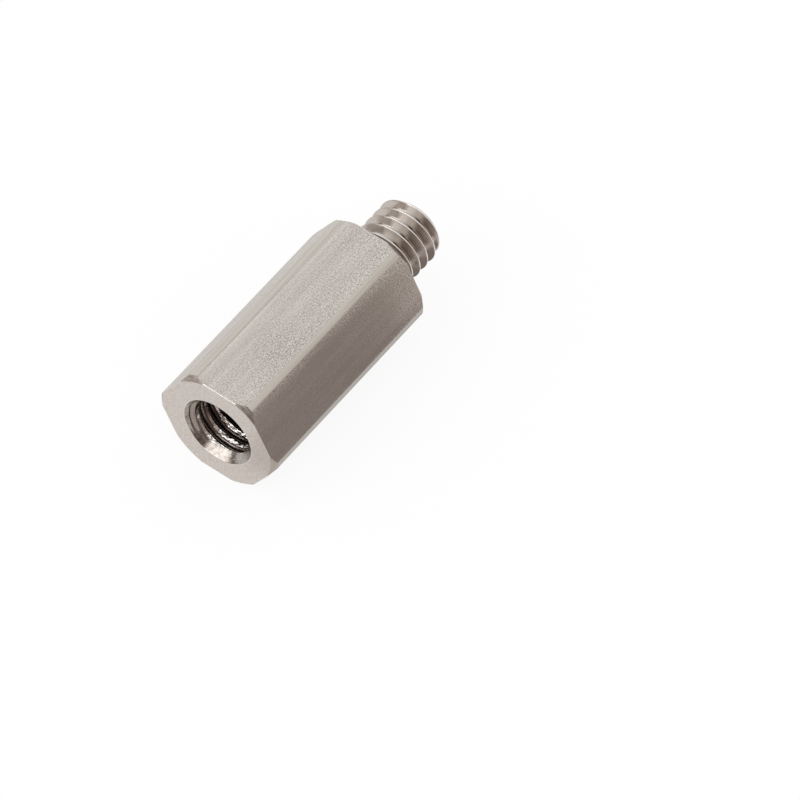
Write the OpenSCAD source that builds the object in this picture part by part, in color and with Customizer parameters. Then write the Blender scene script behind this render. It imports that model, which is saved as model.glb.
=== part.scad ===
// Male-female hex standoff turned from drawn hex bar: a countersunk, drilled and
// tapped hole in one end and a short threaded stud on the other, all one piece.
// It lies on one flat: +X runs along the bar towards the stud, +Z is up, and the
// origin is on the resting surface under the middle of the whole length.
// The helical threads are fine and are not drawn: the hole has its tapping-drill
// size, and the stud the size over its thread crests.

/* [Hex bar] */
// Width across opposite flats
across_flats = 5; // [4.5:0.5:8]
// Width across the rounded corners, as a multiple of the width across flats
corner_ratio = 1.11; // [1.04:0.01:1.15]
// Length of the hex body, from the tapped end face to the shoulder
body_len = 10; // [9.5:0.5:30]
// Depth of the 45 degree turned chamfer at the corners of both ends
corner_chamfer = 0.2; // [0.05:0.005:0.3]

/* [Thread] */
// Nominal diameter of both threads
thread_dia = 3; // [2:0.5:4]
// Thread pitch, crest to crest
thread_pitch = 0.5; // [0.35:0.05:0.7]

/* [Tapped hole] */
// Full-diameter depth of the drilled hole, measured from the end face
hole_depth = 7.5; // [4:0.5:8]
// How much wider than the thread the countersink is at the end face
countersink_margin = 0.27; // [0.05:0.01:0.45]
// Full angle of the countersink, in degrees
countersink_angle = 90; // [60:5:120]
// Full angle of the drill point at the bottom of the hole, in degrees
drill_point_angle = 118; // [118:1:140]

/* [Stud] */
// Length of the stud beyond the shoulder
stud_len = 3; // [2:0.5:12]
// How much smaller than the nominal diameter the stud is over its crests
crest_allowance = 0.07; // [0:0.01:0.1]
// Depth of the 45 degree chamfer on the stud's tip
stud_chamfer = 0.27; // [0.1:0.01:0.4]

/* [Hidden] */

$fn = 96;
// how far a cutter reaches past the face that it cuts, and the stud into the bar
overlap = 0.5;
steel = [0.75, 0.72, 0.69];

total_len = body_len + stud_len;
corner_r = across_flats * corner_ratio / 2;
end_face_r = corner_r - corner_chamfer;
tap_drill_r = (thread_dia - thread_pitch) / 2;
drill_point_len = tap_drill_r / tan(drill_point_angle / 2);
countersink_r = (thread_dia + countersink_margin) / 2;
countersink_slope = tan(countersink_angle / 2);
countersink_depth = (countersink_r - tap_drill_r) / countersink_slope;
stud_r = (thread_dia - crest_allowance) / 2;
stud_tip_r = stud_r - stud_chamfer;

// Sharp hexagonal prism along +Z with two of its flats facing +X and -X.
module hex_prism(width, length) {
    rotate([0, 0, 30])
        cylinder(r = width / sqrt(3), h = length, $fn = 6);
}

// Turned envelope that rounds the bar's corners and chamfers them at both ends.
module corner_envelope() {
    rotate_extrude()
        polygon([
            [0, 0],
            [end_face_r, 0],
            [corner_r, corner_chamfer],
            [corner_r, body_len - corner_chamfer],
            [end_face_r, body_len],
            [0, body_len]
        ]);
}

// Countersunk hole with a drill point, opening at z = 0.
module tapped_hole() {
    translate([0, 0, -overlap])
        cylinder(r = tap_drill_r, h = hole_depth + overlap);
    translate([0, 0, hole_depth])
        cylinder(r1 = tap_drill_r, r2 = 0, h = drill_point_len);
    translate([0, 0, -overlap])
        cylinder(
            r1 = countersink_r + overlap * countersink_slope,
            r2 = tap_drill_r,
            h = countersink_depth + overlap
        );
}

// Stud with a chamfered tip, standing on the shoulder at z = 0.
module stud() {
    translate([0, 0, -overlap])
        cylinder(r = stud_r, h = overlap + stud_len - stud_chamfer);
    translate([0, 0, stud_len - stud_chamfer])
        cylinder(r1 = stud_r, r2 = stud_tip_r, h = stud_chamfer);
}

// Turns a bar drawn along +Z so that it lies on a flat along +X.
module lay_on_flat() {
    translate([-total_len / 2, 0, across_flats / 2])
        rotate([0, 90, 0])
            children();
}

module standoff() {
    color(steel)
        lay_on_flat()
            union() {
                difference() {
                    intersection() {
                        hex_prism(across_flats, body_len);
                        corner_envelope();
                    }
                    tapped_hole();
                }
                translate([0, 0, body_len])
                    stud();
            }
}

standoff();
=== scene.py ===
"""Looks of the hex standoff: one turned piece of stainless bar, with its threads, on a white studio floor.

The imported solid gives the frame. One closed mesh stands for it, with the same outside sizes, the helical
threads, the broken edges and a finish for each way that the real surface was made. Sizes are in millimetres
and turn to metres where the meshes, the lamp and the camera are made.
"""

import math

import bmesh
import bpy
from mathutils import Matrix, Vector, noise


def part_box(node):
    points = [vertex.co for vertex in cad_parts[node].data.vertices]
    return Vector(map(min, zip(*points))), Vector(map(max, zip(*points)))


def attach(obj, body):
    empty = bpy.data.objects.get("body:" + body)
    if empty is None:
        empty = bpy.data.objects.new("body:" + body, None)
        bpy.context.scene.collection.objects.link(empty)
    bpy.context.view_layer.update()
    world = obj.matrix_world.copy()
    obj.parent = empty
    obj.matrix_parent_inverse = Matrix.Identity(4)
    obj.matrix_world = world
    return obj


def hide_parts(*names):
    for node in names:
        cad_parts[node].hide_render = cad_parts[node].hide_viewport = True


MM = 0.001

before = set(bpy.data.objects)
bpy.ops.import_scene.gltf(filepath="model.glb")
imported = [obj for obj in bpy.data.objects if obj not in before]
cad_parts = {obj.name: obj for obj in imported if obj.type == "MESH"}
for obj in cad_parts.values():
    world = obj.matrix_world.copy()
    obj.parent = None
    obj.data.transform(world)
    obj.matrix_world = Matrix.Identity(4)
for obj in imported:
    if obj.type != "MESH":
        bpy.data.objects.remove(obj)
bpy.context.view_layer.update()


# Sizes of the bar. A direction round its axis is a turn. Its corners lie at 0, 60, 120 degrees and so on.

low, high = (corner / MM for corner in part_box("standoff"))
ACROSS_FLATS = high.z - low.z
CORNER_R = high.y
AXIS_HEIGHT = (low.z + high.z) / 2
END_X = low.x
TIP_X = high.x
STUD_LENGTH = 3.0
SHOULDER_X = TIP_X - STUD_LENGTH
SIXTH = math.radians(60)

# Chamfer of each rounded corner at the two ends, from the corner at 0 degrees on. The bar ran a little out of
# true on the lathe, so they differ.
CORNER_CHAMFERS = (0.09, 0.2, 0.2, 0.21, 0.185, 0.2)

# How far each drawn flat lies inside the nominal size (outside it, if negative), from the one at 30 degrees
# on, and the bevel that breaks the end faces' edge along it.
FLAT_INSETS = (0.0, 0.0, 0.037, -0.028, 0.0, -0.03)
EDGE_BEVELS = (0.02, 0.03, 0.02, 0.012, 0.012, 0.012)

# A corner's chamfer has its own finish where it is this many times wider than the bevel.
CHAMFER_OVER_BEVEL = 1.4

# How far the sharp edges are broken.
EDGE_BREAK = 0.012
LAND_BREAK = 0.022
SMALL_BREAK = 0.03
BREAK_DEPTH = SMALL_BREAK * math.sqrt(0.5)
SHOULDER_FILLET = 0.05


# Sizes of the threads, the stud and the hole.

PITCH = 0.5
FLANK_SLOPE = math.tan(math.radians(60))
NOMINAL_R = 1.5

CREST_R = 1.465
ROOT_R = 1.16
CREST_HALF_FLAT = PITCH / 20
STUD_PHASE = 0.3
TIP_CHAMFER = 0.27
TIP_FACE_R = CREST_R - TIP_CHAMFER
STUD_START = SHOULDER_X + SHOULDER_FILLET
STUD_END = TIP_X - BREAK_DEPTH

# The die leaves the thread shallow where it runs out at the shoulder.
RUN_OUT = 0.45
RUN_OUT_LIFT = 0.1

RIM_R = 1.635
BORE_R = 1.25
GROOVE_HALF_FLAT = PITCH / 16
HOLE_PHASE = 0.4
HOLE_START = END_X + BREAK_DEPTH
THREAD_DEPTH = 6.2
THREAD_MARGIN = 0.1
THREAD_END = END_X + THREAD_DEPTH + THREAD_MARGIN
HOLE_DEPTH = 7.5
DRILLED_END = END_X + HOLE_DEPTH
DRILL_POINT = 118
POINT_LENGTH = BORE_R / math.tan(math.radians(DRILL_POINT / 2))

# The tap has left the hole's crests leaning, and torn them on one side.
CREST_LEAN = 0.5
CREST_HALF_WIDTH = 0.075
CREST_LIFT = 0.08
TORN_MIDDLE = math.radians(262)
TORN_REACH = math.radians(42)
TORN_FADE = 0.3
BURR = 0.05
BURR_ELSEWHERE = 0.2
BURR_GRAIN = 7.0
FINE_BURR_GRAIN = 17.0
FINE_BURR_SHARE = 0.6

# How far the creases of the threads are rounded over.
CREST_SOFT = 0.015
ROOT_SOFT = 0.11
GROOVE_SOFT = 0.03
CUT_SOFT = 0.02


# Rows and columns of faces, closest together where the surface turns.

# How far from an edge of the bar its rows begin, and the rows' slopes in degrees, from the face to the side.
EDGE_REACH = 0.45
EDGE_SLOPES = [0, 9, 17, 23] + [27 + 1.2 * k for k in range(31)] + [67, 73, 81, 90]

# Columns from the middle of a flat to its edge, and on to the middle of the rounded corner, as shares.
FLAT_STEPS = [0, 0.2, 0.36, 0.48, 0.54, 0.6, 0.68, 0.76, 0.84, 0.9, 0.95, 0.98, 1.0]
LAND_STEPS = [0.08, 0.25, 0.55, 1.0]
LAND_EDGES = [math.acos((ACROSS_FLATS / 2 - inset) / CORNER_R) for inset in FLAT_INSETS]

# Rows of a thread on one side of the stud's crest or of the hole's groove, as shares of the pitch.
STUD_STEPS = [0, 0.035, 0.055, 0.07, 0.1, 0.17, 0.25, 0.33, 0.38, 0.41, 0.44, 0.47]
HOLE_STEPS = [0, 0.05, 0.085, 0.15, 0.23, 0.3, 0.345, 0.37, 0.42]

# Strips narrower than this share of a thread row's mean width close up at the thread's ends.
SLIVER = 0.2

SIDE_ROWS = 14
FACE_ROWS = 4
BEND_ROWS = 4
TIP_RINGS = (0.95, 0.7, 0.45, 0.2)

# Keeps the reach along a slope finite.
TINY = 1e-6


# Finishes, in the order of the piece's material slots, and the shares of the pitch that have their own.

SKIN, CORNER, TURNED, CHAMFER, BRIGHT, CONE, THREAD, ROOT, CREST, TAPPED, TORN = range(11)

CREST_SHARE = 0.04
ROOT_SHARES = (0.4, 0.55)
TORN_SHARES = (0.34, 0.64)
CLEAN_CREST_SHARES = (0.4, 0.56)
CONE_MARGIN = 0.004


def blend_min(a, b, soft):
    """The smaller of two lengths, with the crease between them rounded over soft."""
    share = max(soft - abs(a - b), 0.0) / soft
    return min(a, b) - share * share * soft / 4


def blend_max(a, b, soft):
    """The larger of two lengths, with the crease between them rounded over soft."""
    return -blend_min(-a, -b, soft)


def flat_at(turn):
    """Number of the flat that lies in this direction."""
    return int(turn // SIXTH) % 6


def side_r(turn):
    """Radius of the bar's side in this direction: a flat, cut off by the rounded corner."""
    from_flat = (turn % SIXTH) - SIXTH / 2
    flat = (ACROSS_FLATS / 2 - FLAT_INSETS[flat_at(turn)]) / math.cos(from_flat)
    return blend_min(flat, CORNER_R, LAND_BREAK)


def along_pitch(x, turn, phase):
    """Place along the bar within a turn of the right-hand thread, -0.5 to 0.5 pitch, in millimetres."""
    turns = x / PITCH - turn / math.tau - phase
    return PITCH * ((turns + 0.5) % 1.0 - 0.5)


def stud_r(x, turn):
    """Radius of the stud: crests, 60 degree flanks and rounded roots, cut by the tip's chamfer."""
    run_out = min(max(1 - (x - SHOULDER_X) / RUN_OUT, 0.0), 1.0)
    root = ROOT_R + run_out * run_out * RUN_OUT_LIFT
    flank = CREST_R - (abs(along_pitch(x, turn, STUD_PHASE)) - CREST_HALF_FLAT) * FLANK_SLOPE
    thread = blend_max(blend_min(flank, CREST_R, CREST_SOFT), root, ROOT_SOFT)
    tip = TIP_FACE_R + (TIP_X - x)
    return blend_min(thread, tip, CUT_SOFT)


def from_torn_side(turn):
    """Angle from the side of the hole where the tap has torn its crests most."""
    return abs((turn - TORN_MIDDLE + math.pi) % math.tau - math.pi)


def burr(turn):
    """How rough the hole's crests are in this direction."""
    torn = min(max((TORN_REACH + TORN_FADE - from_torn_side(turn)) / TORN_FADE, 0.0), 1.0)
    return BURR * (BURR_ELSEWHERE + (1 - BURR_ELSEWHERE) * torn)


def hole_r(x, turn):
    """Radius of the hole: countersink, thread grooves with torn crests, plain drilled end."""
    depth = x - END_X
    fade = min(max((THREAD_DEPTH - depth) / PITCH, 0.0), 1.0)
    from_groove = along_pitch(x, turn, HOLE_PHASE)
    groove = NOMINAL_R - (abs(from_groove) - GROOVE_HALF_FLAT) * FLANK_SLOPE
    groove = blend_min(groove, NOMINAL_R, GROOVE_SOFT)
    groove = BORE_R + (groove - BORE_R) * fade
    point = Vector((x, math.cos(turn), math.sin(turn)))
    grain = noise.noise(point * BURR_GRAIN) + FINE_BURR_SHARE * noise.noise(point * FINE_BURR_GRAIN)
    torn = burr(turn) * grain
    from_crest = from_groove - math.copysign(PITCH / 2, from_groove)
    lifted = CREST_LEAN * max(CREST_HALF_WIDTH - from_crest, 0.0)
    crest = BORE_R + (abs(torn) + min(lifted, CREST_LIFT)) * fade
    thread = blend_max(groove, crest, CUT_SOFT)
    return blend_max(thread, RIM_R - depth, CUT_SOFT)


def column_turns():
    """Directions of the columns of faces, closest together at the edges of the rounded corners."""
    turns = set()
    for k, edge in enumerate(LAND_EDGES):
        middle = SIXTH * (k + 0.5)
        offsets = [edge * step for step in FLAT_STEPS]
        offsets += [edge + (SIXTH / 2 - edge) * step for step in LAND_STEPS]
        for offset in offsets:
            turns.add(round((middle + offset) % math.tau, 9))
            turns.add(round((middle - offset) % math.tau, 9))
    return sorted(turns)


TURNS = column_turns()
COLUMNS = len(TURNS)


class Skin:
    """The standoff's surface as it grows: points in millimetres, faces, and the finish of each face."""

    def __init__(self):
        self.points = []
        self.faces = []
        self.finishes = []

    def point(self, x, r, turn):
        self.points.append((x, r * math.cos(turn), AXIS_HEIGHT + r * math.sin(turn)))
        return len(self.points) - 1

    def ring(self, place):
        """One ring of points; place gives the position along the bar and the radius in a direction."""
        return [self.point(*place(turn), turn) for turn in TURNS]

    def face(self, corners, finish):
        corners = [c for k, c in enumerate(corners) if c != corners[k - 1]]
        if len(set(corners)) >= 3:
            self.faces.append(corners)
            self.finishes.append(finish)

    def join(self, first, second, finish):
        """Fills the strip between two rings. finish is a finish, or gives one for a column's middle."""
        for j in range(COLUMNS):
            k = (j + 1) % COLUMNS
            middle = (TURNS[j] + (TURNS[k] - TURNS[j]) % math.tau / 2) % math.tau
            chosen = finish(middle) if callable(finish) else finish
            self.face([first[j], first[k], second[k], second[j]], chosen)

    def cap(self, ring, x, finish):
        """Closes a ring with faces that meet on the axis."""
        centre = self.point(x, 0.0, 0.0)
        for j in range(COLUMNS):
            self.face([ring[j], ring[(j + 1) % COLUMNS], centre], finish)

    def thread(self, start, end, x_start, x_end, phase, steps, radius, finish):
        """Fills between two rings with rows that climb with the thread, so that its edges stay crisp."""
        rows = []
        pitches = math.floor(x_start / PITCH) - 2
        while not rows or rows[-1] < x_end:
            rows += [(pitches + phase + step) * PITCH for step in steps]
            pitches += 1
        made = {}
        gap = SLIVER * PITCH / len(steps)

        def corner(i, j):
            if j == COLUMNS:
                i, j = i + len(steps), 0
            x = x_end if i >= len(rows) else rows[i] + PITCH * TURNS[j] / math.tau
            if x <= x_start + gap:
                return start[j]
            if x >= x_end - gap:
                return end[j]
            if (i, j) not in made:
                made[i, j] = self.point(x, radius(x, TURNS[j]), TURNS[j])
            return made[i, j]

        for i in range(len(rows) - 1):
            for j in range(COLUMNS):
                around = [corner(i, j), corner(i, j + 1), corner(i + 1, j + 1), corner(i + 1, j)]
                if len(set(around)) >= 3:
                    x = sum(self.points[c][0] for c in around) / 4
                    self.face(around, finish(x, TURNS[j], steps[i % len(steps)]))


def mirrored(steps):
    """All rows of a pitch, from those on one side of its crest or groove."""
    return [*steps, 0.5, *[1 - step for step in reversed(steps[1:])]]


def within(share, shares):
    return shares[0] < share < shares[1]


def stud_finish(x, turn, share):
    """Finish of the stud's thread at this share of the pitch from a crest."""
    if min(share, 1 - share) < CREST_SHARE:
        return CREST
    return ROOT if within(share, ROOT_SHARES) else THREAD


def hole_finish(x, turn, share):
    """Finish of the hole: the countersink, then at this share of the pitch a groove, or a crest that is torn
    on one side and clean elsewhere."""
    if RIM_R - (x - END_X) > hole_r(x, turn) - CONE_MARGIN:
        return CONE
    if from_torn_side(turn) < TORN_REACH:
        return TORN if within(share, TORN_SHARES) else TAPPED
    return BRIGHT if within(share, CLEAN_CREST_SHARES) else TAPPED


def side_finish(turn):
    """Finish of the bar's side: drawn skin on the flats, burnished corners between them."""
    from_middle = abs(turn % SIXTH - SIXTH / 2)
    return SKIN if from_middle < LAND_EDGES[flat_at(turn)] else CORNER


def end_edge(skin, face_x, inwards):
    """Rings round the edge of one end of the bar, from its face to its side: the corner chamfers and the
    broken edge. inwards is the direction along X that leads into the bar."""

    def corner_chamfer(turn):
        return side_r(turn) - CORNER_R + CORNER_CHAMFERS[round(turn / SIXTH) % 6]

    def bevel(turn):
        return EDGE_BEVELS[flat_at(turn)]

    def reaches(slope, turn):
        """How far the face, the side and the chamfer lie along this slope."""
        along, out = max(math.cos(slope), TINY), max(math.sin(slope), TINY)
        chamfer = max(corner_chamfer(turn), bevel(turn))
        return EDGE_REACH / along, EDGE_REACH / out, (2 * EDGE_REACH - chamfer) / (along + out)

    def place(slope):
        def at(turn):
            to_face, to_side, to_chamfer = reaches(slope, turn)
            reach = blend_min(blend_min(to_face, to_side, EDGE_BREAK), to_chamfer, EDGE_BREAK)
            x = face_x + inwards * (EDGE_REACH - reach * math.cos(slope))
            return x, side_r(turn) - EDGE_REACH + reach * math.sin(slope)
        return at

    def finish(slope):
        def of(turn):
            to_face, to_side, to_chamfer = reaches(slope, turn)
            if to_chamfer <= min(to_face, to_side):
                return CHAMFER if corner_chamfer(turn) > CHAMFER_OVER_BEVEL * bevel(turn) else BRIGHT
            return TURNED if to_face < to_side else side_finish(turn)
        return of

    slopes = [math.radians(slope) for slope in EDGE_SLOPES]
    rings = [skin.ring(place(slope)) for slope in slopes]
    for k in range(len(slopes) - 1):
        skin.join(rings[k], rings[k + 1], finish((slopes[k] + slopes[k + 1]) / 2))
    return rings[0], rings[-1]


def bend(skin, before, corner, after, finish):
    """Rings round a small rounded edge or root. The three places are its start, its sharp corner and its
    end."""
    rings = []
    for k in range(BEND_ROWS + 1):
        t = k / BEND_ROWS

        def at(turn, t=t):
            spots = [place(turn) for place in (before, corner, after)]
            weights = ((1 - t) ** 2, 2 * t * (1 - t), t * t)
            return tuple(sum(w * spot[axis] for w, spot in zip(weights, spots)) for axis in range(2))

        rings.append(skin.ring(at))
        if k:
            skin.join(rings[-2], rings[-1], finish)
    return rings[0], rings[-1]


def across_face(skin, inner, outer, face_x, inner_r):
    """Fills a turned face between its round inner edge and the rows along the bar's outline."""
    previous = inner
    for k in range(1, FACE_ROWS):
        share = k / FACE_ROWS

        def at(turn, share=share):
            start = inner_r(turn)
            return face_x, start + (side_r(turn) - EDGE_REACH - start) * share

        ring = skin.ring(at)
        skin.join(previous, ring, TURNED)
        previous = ring
    skin.join(previous, outer, TURNED)


def fillet_r(turn):
    """Radius where the fillet at the stud's root meets the shoulder."""
    return stud_r(STUD_START, turn) + SHOULDER_FILLET


def rim_edge_r(turn):
    """Radius where the hole's broken rim meets the end face."""
    return RIM_R + SMALL_BREAK


def add_stud(skin):
    """The stud, from the fillet at its root to its tip. Returns its ring on the shoulder."""

    def tip_r(turn):
        return min(stud_r(STUD_END, turn), TIP_FACE_R)

    on_shoulder, root = bend(
        skin,
        lambda turn: (SHOULDER_X, fillet_r(turn)),
        lambda turn: (SHOULDER_X, stud_r(STUD_START, turn)),
        lambda turn: (STUD_START, stud_r(STUD_START, turn)),
        THREAD)
    tip_edge, tip_face = bend(
        skin,
        lambda turn: (STUD_END, stud_r(STUD_END, turn)),
        lambda turn: (TIP_X, tip_r(turn)),
        lambda turn: (TIP_X, tip_r(turn) - SMALL_BREAK),
        THREAD)
    steps = mirrored(STUD_STEPS)
    skin.thread(root, tip_edge, STUD_START, STUD_END, STUD_PHASE, steps, stud_r, stud_finish)
    previous = tip_face
    for r in TIP_RINGS:
        ring = skin.ring(lambda turn, r=r: (TIP_X, r))
        skin.join(previous, ring, TURNED)
        previous = ring
    skin.cap(previous, TIP_X, TURNED)
    return on_shoulder


def add_shoulder(skin, on_shoulder):
    """The shoulder's face and edge. Returns the edge's ring on the bar's side."""
    outer, on_side = end_edge(skin, SHOULDER_X, -1)
    across_face(skin, on_shoulder, outer, SHOULDER_X, fillet_r)
    return on_side


def add_side(skin, far):
    """The end face's edge and the bar's side, up to the ring at its far end. Returns the edge's ring on the
    end face."""
    on_face, previous = end_edge(skin, END_X, 1)
    for k in range(1, SIDE_ROWS):
        x = END_X + EDGE_REACH + (SHOULDER_X - END_X - 2 * EDGE_REACH) * k / SIDE_ROWS
        ring = skin.ring(lambda turn, x=x: (x, side_r(turn)))
        skin.join(previous, ring, side_finish)
        previous = ring
    skin.join(previous, far, side_finish)
    return on_face


def add_hole(skin, on_face):
    """The end face and the hole, from its rim to the drill point."""
    rim_edge, rim = bend(
        skin,
        lambda turn: (END_X, rim_edge_r(turn)),
        lambda turn: (END_X, RIM_R),
        lambda turn: (HOLE_START, hole_r(HOLE_START, turn)),
        BRIGHT)
    across_face(skin, rim_edge, on_face, END_X, rim_edge_r)
    bottom = skin.ring(lambda turn: (THREAD_END, hole_r(THREAD_END, turn)))
    steps = mirrored(HOLE_STEPS)
    skin.thread(rim, bottom, HOLE_START, THREAD_END, HOLE_PHASE, steps, hole_r, hole_finish)
    drilled = skin.ring(lambda turn: (DRILLED_END, BORE_R))
    skin.join(bottom, drilled, TAPPED)
    waist = skin.ring(lambda turn: (DRILLED_END + POINT_LENGTH / 2, BORE_R / 2))
    skin.join(drilled, waist, TAPPED)
    skin.cap(waist, DRILLED_END + POINT_LENGTH, TAPPED)


def turn_standoff(shape):
    """The whole standoff as one closed mesh, with a material slot for each finish."""
    skin = Skin()
    on_shoulder = add_stud(skin)
    far = add_shoulder(skin, on_shoulder)
    on_face = add_side(skin, far)
    add_hole(skin, on_face)
    made = [shape.verts.new(Vector(p) * MM) for p in skin.points]
    for corners, finish in zip(skin.faces, skin.finishes):
        face = shape.faces.new([made[c] for c in corners])
        face.material_index = finish
        face.smooth = True
    loose = [v for v in shape.verts if not v.link_faces]
    bmesh.ops.delete(shape, geom=loose, context="VERTS")
    bmesh.ops.recalc_face_normals(shape, faces=shape.faces)


def as_object(name, build, materials):
    """An object whose mesh, in metres, is made by build."""
    mesh = bpy.data.meshes.new(name)
    shape = bmesh.new()
    build(shape)
    shape.to_mesh(mesh)
    shape.free()
    for material in materials:
        mesh.materials.append(material)
    made = bpy.data.objects.new(name, mesh)
    bpy.context.scene.collection.objects.link(made)
    return made


# Materials. Those of the standoff are all bare stainless steel, each named for how its surface was made or
# for the light or shade painted into it.

WHITE = (1, 1, 1, 1)

# A grain's values lie nearly all in this middle range.
GRAIN_RANGE = {"From Min": 0.3, "From Max": 0.7}


def linear(hex_colour):
    """An sRGB hex colour as linear RGBA."""
    parts = [int(hex_colour[k:k + 2], 16) / 255 for k in (1, 3, 5)]
    return (*[p / 12.92 if p <= 0.04045 else ((p + 0.055) / 1.055) ** 2.4 for p in parts], 1.0)


def node(tree, kind, settings, feeds):
    """Adds a node with its settings. A feed is a socket to link from, or a value to set."""
    added = tree.nodes.new(kind)
    for field, value in settings.items():
        setattr(added, field, value)
    for socket, feed in feeds.items():
        if isinstance(feed, bpy.types.NodeSocket):
            tree.links.new(feed, added.inputs[socket])
        else:
            added.inputs[socket].default_value = feed
    return added


def blank_material(name):
    material = bpy.data.materials.new(name)
    material.use_nodes = True
    material.node_tree.nodes.clear()
    return material, material.node_tree


def place_along(tree, axis, centre=0.0):
    """Position along an axis of the standoff, in millimetres from a centre."""
    place = node(tree, "ShaderNodeTexCoord", {}, {}).outputs["Object"]
    along = node(tree, "ShaderNodeSeparateXYZ", {}, {"Vector": place}).outputs[axis]
    return node(tree, "ShaderNodeMath", {"operation": "MULTIPLY_ADD"},
                {0: along, 1: 1 / MM, 2: -centre}).outputs[0]


def pattern(tree, size, detail=2.0, rough=0.5):
    """A grain whose lumps measure size = (x, y, z) millimetres."""
    place = node(tree, "ShaderNodeTexCoord", {}, {}).outputs["Object"]
    scaled = node(tree, "ShaderNodeMapping", {"vector_type": "POINT"},
                  {"Vector": place, "Scale": tuple(1 / (s * MM) for s in size)}).outputs[0]
    return node(tree, "ShaderNodeTexNoise", {},
                {"Vector": scaled, "Scale": 1.0, "Detail": detail, "Roughness": rough}).outputs[0]


def cutter_rings(tree, place):
    """Rings that a cutter's feed leaves along a distance in millimetres. Real ones are too fine to show, so
    these are drawn 0.05 mm wide, as coarse as it takes."""
    return node(tree, "ShaderNodeTexNoise", {"noise_dimensions": "1D"},
                {"W": place, "Scale": 1 / 0.05, "Detail": 1.0}).outputs[0]


def shade(tree, grain, dark, light):
    """A colour that follows a grain, from a dark one to a light one."""
    share = node(tree, "ShaderNodeMapRange", {}, {"Value": grain, **GRAIN_RANGE}).outputs[0]
    return node(tree, "ShaderNodeMix", {"data_type": "RGBA", "clamp_factor": True},
                {0: share, 6: dark, 7: light}).outputs[2]


def stained(tree, place, stops):
    """A colour that changes with a place. stops are pairs of place and colour, in rising order."""
    first, last = stops[0][0], stops[-1][0]
    share = node(tree, "ShaderNodeMapRange", {},
                 {"Value": place, "From Min": first, "From Max": last}).outputs[0]
    added = node(tree, "ShaderNodeValToRGB", {}, {"Fac": share})
    elements = added.color_ramp.elements
    for at, colour in stops[1:-1]:
        elements.new((at - first) / (last - first))
    for element, (at, colour) in zip(elements, stops):
        element.color = linear(colour)
    return added.outputs["Color"]


def metal(tree, colour, roughness, height, depth):
    """Bare metal with a relief of depth millimetres. Its roughness is one number, or a grain with the
    roughness where that grain is low and where it is high."""
    if isinstance(roughness, tuple):
        grain, at_low, at_high = roughness
        roughness = node(tree, "ShaderNodeMapRange", {},
                         {"Value": grain, **GRAIN_RANGE, "To Min": at_low, "To Max": at_high}).outputs[0]
    relief = node(tree, "ShaderNodeBump", {}, {"Height": height, "Strength": 1.0, "Distance": depth * MM})
    steel = node(tree, "ShaderNodeBsdfPrincipled", {},
                 {"Base Color": colour, "Metallic": 1.0, "Roughness": roughness, "Normal": relief.outputs[0]})
    node(tree, "ShaderNodeOutputMaterial", {}, {"Surface": steel.outputs[0]})


def drawn_skin():
    """Stainless bar as drawn: a matt, mealy grey skin with fine pits, faint lines along the bar and a few die
    marks, with painted light that makes it lighter towards the shoulder end. Real pits are too fine to show,
    so these are drawn 0.065 mm wide, as coarse as it takes."""
    material, tree = blank_material("stainless_drawn_skin")
    pits = pattern(tree, (0.065, 0.065, 0.065), 2.0, 0.6)
    lines = pattern(tree, (5.0, 0.3, 0.3), 2.0)
    patches = pattern(tree, (2.4, 1.2, 1.2), 1.0)
    marks = pattern(tree, (14.0, 0.11, 0.11), 1.0)

    # Bands across the bar: from one y to another, an amount that goes from one value to another.
    across = place_along(tree, 1)
    bands = (
        (1.3, -1.2, 0.45, 1.5),    # pits that deepen towards -Y
        (-1.4, -1.7, 1.0, 0.25),   # and calm down past the corner there
        (0.9, 1.4, 0.0, 1.3),      # die marks that begin towards +Y
        (1.5, 1.8, 1.0, 0.3),      # and fade past the corner there
    )
    worn, calm, inner, outer = [
        node(tree, "ShaderNodeMapRange", {},
             {"Value": across, "From Min": y0, "From Max": y1, "To Min": amount, "To Max": last}).outputs[0]
        for y0, y1, amount, last in bands]
    # Painted light: the skin is painted lighter towards the shoulder end; the same amount also deepens its
    # pits there.
    far_end_wear_and_light = node(tree, "ShaderNodeMapRange", {"interpolation_type": "SMOOTHSTEP"},
                   {"Value": place_along(tree, 0), "From Min": 1.2, "From Max": 3.4,
                    "To Min": 0.0, "To Max": 0.25}).outputs[0]
    wear_and_far_light = node(tree, "ShaderNodeMath", {"operation": "MULTIPLY_ADD"},
                {0: worn, 1: calm, 2: far_end_wear_and_light}).outputs[0]
    marked = node(tree, "ShaderNodeMath", {"operation": "MULTIPLY"}, {0: inner, 1: outer}).outputs[0]

    patchy, pitted, die_marks = [
        node(tree, "ShaderNodeMapRange", {},
             {"Value": grain, **GRAIN_RANGE, "To Min": at_low, "To Max": at_high}).outputs[0]
        for grain, at_low, at_high in ((patches, 0.75, 1.15), (pits, -0.5, 0.5), (marks, -0.5, 0.5))]
    strength = node(tree, "ShaderNodeMath", {"operation": "MULTIPLY"}, {0: wear_and_far_light, 1: patchy}).outputs[0]
    deep = node(tree, "ShaderNodeMath", {"operation": "MULTIPLY"}, {0: pitted, 1: strength}).outputs[0]

    # The colour follows the pits, and then the die marks, the lines and the worn patches, with painted light
    # towards the shoulder end.
    share = deep
    for part, amount in ((die_marks, marked), (lines, 0.5), (wear_and_far_light, 0.22)):
        share = node(tree, "ShaderNodeMath", {"operation": "MULTIPLY_ADD"},
                     {0: part, 1: amount, 2: share}).outputs[0]
    colour = node(tree, "ShaderNodeMix", {"data_type": "RGBA", "clamp_factor": True},
                  {0: share, 6: linear("#ABA49D"), 7: linear("#E2DBD5")}).outputs[2]
    metal(tree, colour, (pits, 0.42, 0.3), deep, 0.02)
    return material


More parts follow.
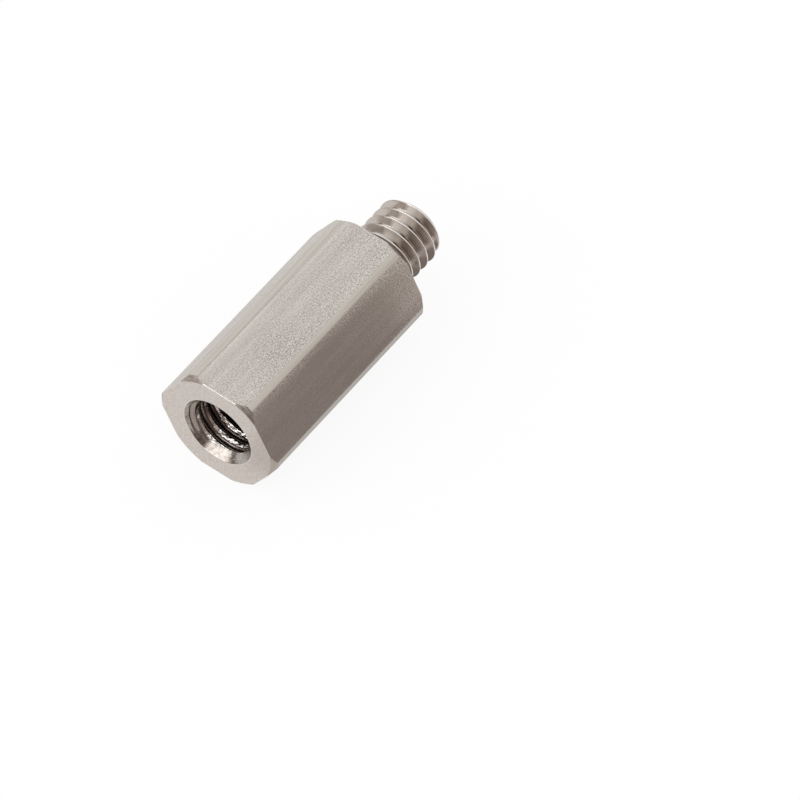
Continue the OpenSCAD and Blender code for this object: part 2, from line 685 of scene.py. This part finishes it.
def burnished_corner():
    """Bar corner rolled smooth by the die: brighter, with only faint lines along the bar."""
    material, tree = blank_material("stainless_burnished_corner")
    lines = pattern(tree, (6.0, 0.12, 0.12), 1.0)
    colour = shade(tree, lines, linear("#BAB4AA"), linear("#CEC9C1"))
    metal(tree, colour, (lines, 0.27, 0.33), lines, 0.004)
    return material


def turned_face():
    """Faced on the lathe: an even satin grey, with fine rings round the axis."""
    material, tree = blank_material("stainless_turned_face")
    from_axis = node(tree, "ShaderNodeCombineXYZ", {},
                     {0: place_along(tree, 1), 1: place_along(tree, 2, AXIS_HEIGHT)}).outputs[0]
    radius = node(tree, "ShaderNodeVectorMath", {"operation": "LENGTH"}, {0: from_axis}).outputs["Value"]
    rings = cutter_rings(tree, radius)
    grain = pattern(tree, (0.12, 0.12, 0.12))
    colour = shade(tree, grain, linear("#C2BAB4"), linear("#D2CBC5"))
    height = node(tree, "ShaderNodeMath", {"operation": "MULTIPLY_ADD"},
                  {0: grain, 1: 2.0, 2: rings}).outputs[0]
    metal(tree, colour, (rings, 0.28, 0.36), height, 0.003)
    return material


def rough_chamfer():
    """Corner chamfers torn a little by a worn tool: dull streaks, lighter on the corner at -Y."""
    material, tree = blank_material("stainless_rough_chamfer")
    streaks = pattern(tree, (0.05, 0.35, 0.35))
    dark = stained(tree, place_along(tree, 1), [(-2.6, "#A8A098"), (-2.1, "#857C75")])
    colour = shade(tree, streaks, dark, linear("#B5ADA6"))
    metal(tree, colour, (streaks, 0.36, 0.46), streaks, 0.02)
    return material


def bright_cut():
    """Broken edges, the hole's rim and its clean crests, cut by a sharp tool: thin bright lines."""
    material, tree = blank_material("stainless_bright_cut")
    grain = pattern(tree, (0.2, 0.2, 0.2))
    metal(tree, linear("#CFC8C2"), (grain, 0.12, 0.18), grain, 0.004)
    return material


def sunk_cone():
    """Countersink: a smooth cone with rings left by the cutter, mottled by a thin layer of its cutting fluid,
    and with painted shade that makes it a little darker towards +Y.
    """
    material, tree = blank_material("stainless_countersunk_cone")
    rings = cutter_rings(tree, place_along(tree, 0))
    stain = pattern(tree, (0.16, 0.16, 0.16))
    colour = shade(tree, stain, linear("#938D87"), linear("#BEB8B3"))
    # Painted shade: the cone is a little darker towards +Y.
    painted_shade = stained(tree, place_along(tree, 1), [(0.7, "#FFFFFF"), (1.3, "#F0EDEA")])
    shaded_colour = node(tree, "ShaderNodeMix", {"data_type": "RGBA", "blend_type": "MULTIPLY"},
                 {0: 1.0, 6: colour, 7: painted_shade}).outputs[2]
    metal(tree, shaded_colour, (stain, 0.16, 0.24), rings, 0.006)
    return material


def cut_thread():
    """Thread flanks cut by the die, with painted light: a painted highlight in a band along the top, painted
    shade at its sides and painted shade where the thread runs out at the shoulder."""
    material, tree = blank_material("stainless_cut_thread")
    grain = pattern(tree, (0.12, 0.12, 0.12))
    # Painted shade: the flanks are darker near the shoulder, where the thread runs out.
    clean = node(tree, "ShaderNodeMapRange", {"interpolation_type": "SMOOTHSTEP"},
                 {"Value": place_along(tree, 0, SHOULDER_X), "From Min": 0.7, "From Max": 0.98}).outputs[0]
    # Painted light across the top of the stud: a painted highlight in a band, painted shade to either side.
    painted_light_band = stained(tree, place_along(tree, 1),
                   [(-1.3, "#C8C0B9"), (-1.17, "#C6BEB8"), (-0.9, "#ACA49D"), (-0.7, "#A9A098"),
                    (-0.5, "#CCC4BD"), (-0.28, "#D0C9C3"), (-0.1, "#DED8D2"), (0.1, "#E2DCD7"),
                    (0.19, "#E2DCD7"), (0.28, "#B8B0A9"), (0.42, "#C4BCB5")])
    colour = node(tree, "ShaderNodeMix", {"data_type": "RGBA"},
                  {0: clean, 6: linear("#A29992"), 7: painted_light_band}).outputs[2]
    metal(tree, colour, (grain, 0.17, 0.25), grain, 0.004)
    return material


def root_with_painted_shade():
    """Roots of the stud's thread, with painted shade: dark along one side of the top."""
    material, tree = blank_material("stainless_root_painted_shade")
    grain = pattern(tree, (0.1, 0.1, 0.1))
    # Painted shade in the roots, darkest along one side of the top.
    painted_shade = stained(tree, place_along(tree, 1),
                  [(-1.2, "#9A918A"), (-0.85, "#B0A8A1"), (-0.62, "#7A706A"), (-0.5, "#51473F"),
                   (-0.38, "#6A605A"), (-0.28, "#B4ACA5"), (0.3, "#BEB6AF")])
    metal(tree, painted_shade, (grain, 0.2, 0.3), grain, 0.004)
    return material


def crest_with_painted_highlight():
    """Crests of the stud's thread with a painted highlight: thin light lines that fade towards +Y."""
    material, tree = blank_material("stainless_crest_painted_highlight")
    grain = pattern(tree, (0.2, 0.2, 0.2))
    # Painted highlight on the crests, fading towards +Y.
    painted_highlight = stained(tree, place_along(tree, 1), [(0.3, "#F0EBE6"), (0.6, "#9A918A")])
    metal(tree, painted_highlight, (grain, 0.12, 0.2), grain, 0.004)
    return material


def tapped_thread():
    """Thread grooves cut by the tap: brownish grey, with painted shade that darkens them with depth, so the
    hole goes dark within a turn or two.
    """
    material, tree = blank_material("stainless_tapped_thread")
    grain = pattern(tree, (0.1, 0.1, 0.1))
    # Painted shade: darker with depth into the hole.
    painted_shade = stained(tree, place_along(tree, 0, END_X), [(0.45, "#978C84"), (0.9, "#6A605A"), (1.7, "#38312D")])
    metal(tree, painted_shade, (grain, 0.2, 0.3), grain, 0.006)
    return material


def torn_crest():
    """Thread crests that the tap has torn: bright, rough little facets that glint."""
    material, tree = blank_material("stainless_torn_crest")
    facets = pattern(tree, (0.09, 0.22, 0.22))
    metal(tree, linear("#F4F0EC"), 0.2, facets, 0.06)
    return material


# Studio: a white floor and room, a soft box, cards that glow only in the metal as painted reflections, and
# the camera.

FLOOR_REACH = 70
FLOOR_LIFT = 0.9
FLOOR_IN_METAL = "#FAF8F7"

BRIGHT_SIDE = (0.45, 0.5, 0.74)
WALL_DARK_AT = 0.2
WALL_BRIGHT_AT = 0.6
WALL_DARK = "#7A6A60"

# Cards that stand in one plane beside the standoff and glow only in the metal: painted reflections, darker
# where the camera's side lies in shade beside a second standoff, lighter beyond. Columns: x from and to, z
# from and to, and the colour they show.
STANDING_CARDS_Y = -7
STANDING_CARDS = {
    "low_card": (-14, 5.5, 0, 2.8, "#8F8480"),
    "upright_card": (-14, 5.5, 2.8, 9.5, "#A59A96"),
    "far_card": (5.5, 7.5, 0, 9.5, "#B4AAA4"),
    "light_card": (7.5, 18, 0, 9.5, "#EAE4DE"),
    "upper_card": (-14, 18, 9.5, 13.5, "#EFEAE7"),
}

# Cards that lie just over the floor and glow only in the metal: painted shade of the floor as the metal
# reflects it, on the camera's side and under the stud. Columns: x from and to, y from and to, their height,
# and the colour they show.
LYING_CARDS = {
    "lying_card": (-5.5, 5.2, -7, -3, 0.02, "#DCDADB"),
    "small_card": (3.5, 6.2, -3, 2.5, 0.03, "#8F8480"),
    "near_card": (-6.5, 3.5, -3, 0, 0.03, "#A89E98"),
    "face_card": (-9.6, -7.6, -2.4, -0.2, 0.03, "#DBD6D3"),
}

SENSOR_WIDTH = 36
LENS = 330.5
CAMERA_AZIMUTH = -57.33
CAMERA_ELEVATION = 53.34
CAMERA_ROLL = 4.253
CAMERA_DISTANCE = 286.25
CAMERA_AIM = (-0.854, -4.666, 2.5)


def paper_floor():
    """A white sheet under the standoff. Seen directly or in the metal it is lifted to white, and it keeps
    the soft contact shadow."""
    material, tree = blank_material("white_paper_floor")
    paths = node(tree, "ShaderNodeLightPath", {}, {}).outputs
    seen = node(tree, "ShaderNodeMath", {"operation": "ADD", "use_clamp": True},
                {0: paths["Is Camera Ray"], 1: paths["Is Glossy Ray"]}).outputs[0]
    lift = node(tree, "ShaderNodeMath", {"operation": "MULTIPLY"}, {0: seen, 1: FLOOR_LIFT}).outputs[0]
    level = node(tree, "ShaderNodeMix", {"data_type": "RGBA"},
                 {0: paths["Is Glossy Ray"], 6: WHITE, 7: linear(FLOOR_IN_METAL)}).outputs[2]
    paper = node(tree, "ShaderNodeBsdfDiffuse", {}, {"Color": linear("#F2F2F2")}).outputs[0]
    lifted = node(tree, "ShaderNodeEmission", {}, {"Color": level, "Strength": 1.0}).outputs[0]
    mixed = node(tree, "ShaderNodeMixShader", {}, {0: lift, 1: paper, 2: lifted}).outputs[0]
    node(tree, "ShaderNodeOutputMaterial", {}, {"Surface": mixed})

    def sheet(shape):
        bmesh.ops.create_grid(shape, x_segments=8, y_segments=8, size=FLOOR_REACH * MM)

    as_object("floor", sheet, [material])


def painted_reflection_card(name, corners, level):
    """A card that glows only in the metal: a painted reflection of light or shade beside the standoff."""
    material, tree = blank_material(name)
    glow = node(tree, "ShaderNodeEmission", {}, {"Color": linear(level), "Strength": 1.0}).outputs[0]
    node(tree, "ShaderNodeOutputMaterial", {}, {"Surface": glow})

    def card(shape):
        shape.faces.new([shape.verts.new(Vector(corner) * MM) for corner in corners])

    piece = as_object(name, card, [material])
    piece.visible_camera = False
    piece.visible_diffuse = False
    piece.visible_shadow = False


def soft_box(name, direction, distance, width, height, strength):
    """A soft box. strength is its brightness as seen from the standoff, where 1 is white."""
    lamp = bpy.data.lights.new(name, "AREA")
    lamp.shape = "RECTANGLE"
    lamp.size = width * MM
    lamp.size_y = height * MM
    lamp.energy = strength * math.pi * width * height * MM ** 2
    holder = bpy.data.objects.new(name, lamp)
    towards = Vector(direction).normalized()
    holder.location = towards * distance * MM
    holder.rotation_euler = towards.to_track_quat("Z", "Y").to_euler()
    bpy.context.scene.collection.objects.link(holder)


def room():
    """The studio's walls: white to the camera; in the metal, bright over and behind the standoff and darker
    low down on the camera's side."""
    world = bpy.data.worlds.new("room")
    bpy.context.scene.world = world
    world.use_nodes = True
    tree = world.node_tree
    tree.nodes.clear()
    direction = node(tree, "ShaderNodeTexCoord", {}, {}).outputs["Generated"]
    facing = node(tree, "ShaderNodeVectorMath", {"operation": "DOT_PRODUCT"},
                  {0: direction, 1: Vector(BRIGHT_SIDE).normalized()}).outputs["Value"]
    wall = node(tree, "ShaderNodeMapRange", {"interpolation_type": "SMOOTHSTEP"},
                {"Value": facing, "From Min": WALL_DARK_AT, "From Max": WALL_BRIGHT_AT}).outputs[0]
    in_metal = node(tree, "ShaderNodeMix", {"data_type": "RGBA"},
                    {0: wall, 6: linear(WALL_DARK), 7: WHITE}).outputs[2]
    paths = node(tree, "ShaderNodeLightPath", {}, {}).outputs
    colour = node(tree, "ShaderNodeMix", {"data_type": "RGBA"},
                  {0: paths["Is Glossy Ray"], 6: WHITE, 7: in_metal}).outputs[2]
    glow = node(tree, "ShaderNodeBackground", {}, {"Color": colour, "Strength": 1.0}).outputs[0]
    node(tree, "ShaderNodeOutputWorld", {}, {"Surface": glow})


def photo_camera():
    """The camera at the photograph's place."""
    data = bpy.data.cameras.new("camera")
    data.sensor_width = SENSOR_WIDTH
    data.lens = LENS
    camera = bpy.data.objects.new("camera", data)
    turn = Matrix.Rotation(math.radians(CAMERA_AZIMUTH), 3, "Z")
    tip = Matrix.Rotation(math.radians(90 - CAMERA_ELEVATION), 3, "X")
    roll = Matrix.Rotation(math.radians(CAMERA_ROLL), 3, "Z")
    facing = turn @ tip @ roll
    camera.location = (Vector(CAMERA_AIM) + facing.col[2] * CAMERA_DISTANCE) * MM
    camera.rotation_euler = facing.to_euler()
    bpy.context.scene.collection.objects.link(camera)
    bpy.context.scene.camera = camera


bpy.context.scene.view_settings.view_transform = "Standard"

photo_camera()
room()
paper_floor()
for name, (x0, x1, z0, z1, level) in STANDING_CARDS.items():
    y = STANDING_CARDS_Y
    painted_reflection_card(name, ((x0, y, z0), (x1, y, z0), (x1, y, z1), (x0, y, z1)), level)
for name, (x0, x1, y0, y1, z, level) in LYING_CARDS.items():
    painted_reflection_card(name, ((x0, y0, z), (x1, y0, z), (x1, y1, z), (x0, y1, z)), level)
soft_box("left_box", direction=(-0.83, 0.34, 0.45), distance=250, width=255, height=140, strength=2.1)

standoff = as_object("standoff_turned", turn_standoff,
                     [drawn_skin(), burnished_corner(), turned_face(), rough_chamfer(), bright_cut(),
                      sunk_cone(), cut_thread(), root_with_painted_shade(), crest_with_painted_highlight(), tapped_thread(), torn_crest()])
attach(standoff, "root")
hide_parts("standoff")
